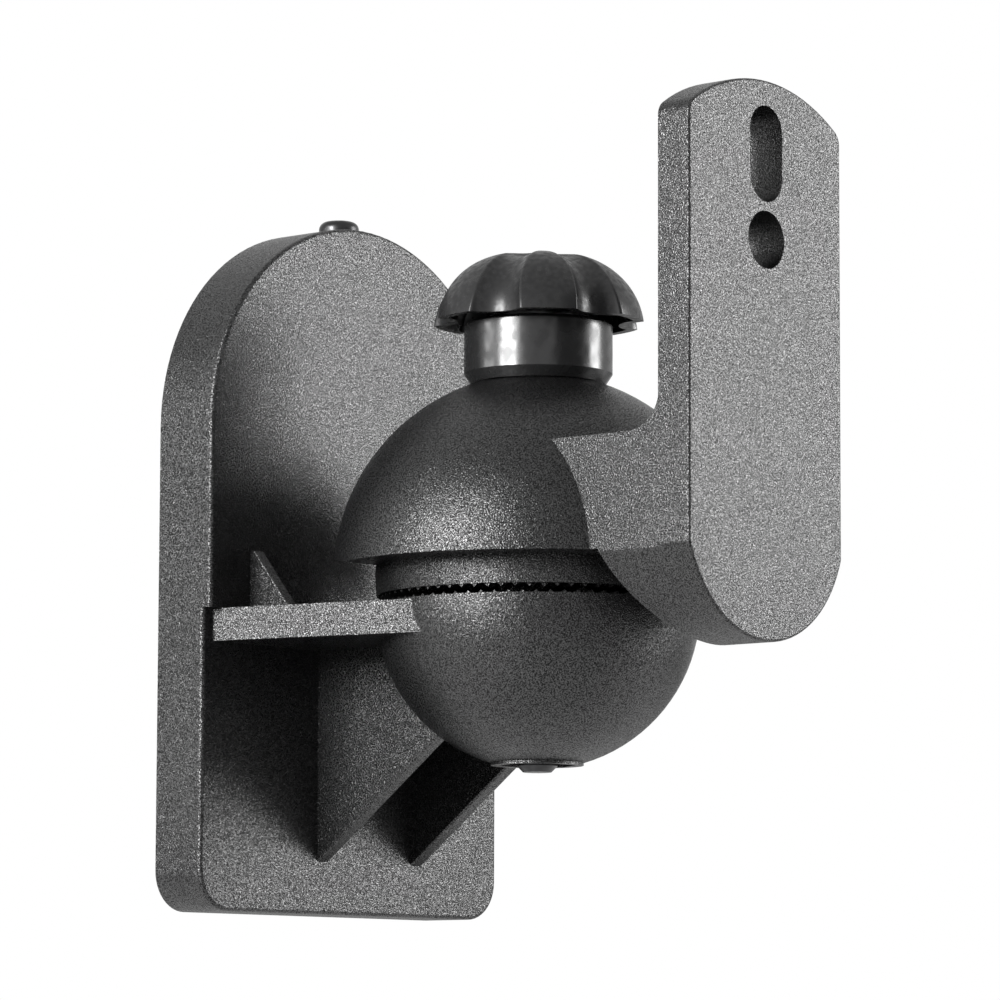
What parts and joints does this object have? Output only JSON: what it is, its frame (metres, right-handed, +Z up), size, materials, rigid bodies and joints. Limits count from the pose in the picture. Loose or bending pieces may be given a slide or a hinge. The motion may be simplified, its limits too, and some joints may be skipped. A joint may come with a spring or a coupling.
{
  "type": "speaker wall bracket",
  "caption": "Moulded wall bracket for a small speaker: arched wall housing, toothed split ball swivel, knob clamp and an upright speaker plate that pans and tilts.",
  "frame": {"origin": "middle of the bracket's flat wall face, on the wall plane", "axes": "+Y into the wall, -Y out into the room towards the speaker, +Z up, +X to the right for someone who faces the wall"},
  "size_m": [0.066, 0.0888, 0.1183],
  "materials": {
    "moulded_plastic": "charcoal moulding with a fine spark-eroded grain",
    "polished_plastic": "black, smooth and glossy",
    "knob_plastic": "black, satin",
    "zinc_steel": "zinc plated, dull",
    "dark_steel": "black oxide, slightly shiny"
  },
  "bodies": {
    "bracket": {"wall_bracket": "moulded_plastic", "back_plate": "zinc_steel", "lock_screw": "dark_steel", "captive_nut": "zinc_steel"},
    "clamp": {"thrust_washer": "zinc_steel"},
    "swivel": {"swivel_core": "moulded_plastic", "clamp_collar": "polished_plastic"},
    "arm": {"speaker_arm": "moulded_plastic"},
    "knob_unit": {"knob": "knob_plastic", "clamp_bolt": "dark_steel"}
  },
  "joints": [
    {"name": "clamp_lift", "type": "slide", "parent": "bracket", "child": "clamp", "axis": [0, 0, 1], "range_m": [-0.001, 0.001]},
    {"name": "knob_turn", "type": "hinge", "parent": "clamp", "child": "knob_unit", "pos_m": [0, -0.046, 0.0349], "axis": [0, 0, 1], "range_deg": [-360, 360]},
    {"name": "pan", "type": "hinge", "parent": "clamp", "child": "swivel", "pos_m": [0, -0.046, -0.00325], "axis": [0, 0, 1], "range_deg": [-85, 85]},
    {"name": "tilt", "type": "hinge", "parent": "swivel", "child": "arm", "pos_m": [0, -0.046, -0.00325], "axis": [1, 0, 0], "range_deg": [-8, 8]}
  ],
  "couplings": [
    {"joint": "knob_turn", "follows": "clamp_lift", "rad_per_m": 6283.2}
  ]
}
